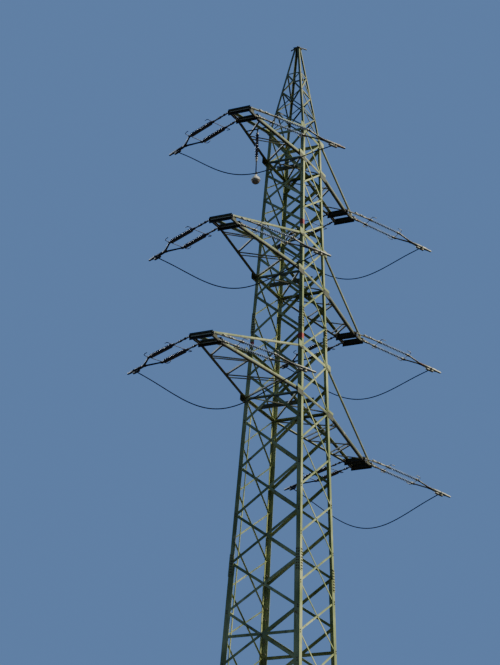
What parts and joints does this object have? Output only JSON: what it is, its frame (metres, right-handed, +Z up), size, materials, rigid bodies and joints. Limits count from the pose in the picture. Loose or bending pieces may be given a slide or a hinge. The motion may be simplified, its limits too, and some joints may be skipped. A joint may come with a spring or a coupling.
{
  "type": "lattice transmission pylon",
  "caption": "Tall steel lattice tower with pairs of tapering arms, dead-end insulator strings and hanging jumpers for an overhead line.",
  "frame": {"origin": "centre between the four feet, on the floor", "axes": "+Z up, +X along the arms to the east pair, +Y along the line to the north"},
  "size_m": [15.1161, 6.2608, 34.576],
  "materials": {
    "tower_paint": "weathered matt",
    "fitting_steel": "dull galvanised",
    "brown_porcelain": null,
    "conductor": "weathered strands",
    "weight_iron": "painted and soiled"
  },
  "bodies": {
    "root": {"arm_ties_lower": "tower_paint", "arm_ties_middle": "tower_paint", "arm_ties_upper": "tower_paint", "climbing_rail": "tower_paint", "east_arm_lower": "tower_paint", "east_arm_middle": "tower_paint", "east_arm_upper": "tower_paint", "east_fittings_lower": "fitting_steel", "east_fittings_middle": "fitting_steel", "east_fittings_upper": "fitting_steel", "east_insulators_lower": "brown_porcelain", "east_insulators_middle": "brown_porcelain", "east_insulators_upper": "brown_porcelain", "east_jumper_lower": "conductor", "east_jumper_middle": "conductor", "east_jumper_upper": "conductor", "jumper_support_insulator": "brown_porcelain", "jumper_support_weight": "weight_iron", "leg_north_east": "tower_paint", "leg_north_west": "tower_paint", "leg_south_east": "tower_paint", "leg_south_west": "tower_paint", "peak_bracing": "tower_paint", "peak_cap": "fitting_steel", "plan_bracing_lower": "tower_paint", "plan_bracing_middle": "tower_paint", "plan_bracing_upper": "tower_paint", "side_east": "tower_paint", "side_north": "tower_paint", "side_south": "tower_paint", "side_west": "tower_paint", "west_arm_lower": "tower_paint", "west_arm_middle": "tower_paint", "west_arm_upper": "tower_paint", "west_fittings_lower": "fitting_steel", "west_fittings_middle": "fitting_steel", "west_fittings_upper": "fitting_steel", "west_insulators_lower": "brown_porcelain", "west_insulators_middle": "brown_porcelain", "west_insulators_upper": "brown_porcelain", "west_jumper_lower": "conductor", "west_jumper_middle": "conductor", "west_jumper_upper": "conductor"}
  },
  "joints": []
}
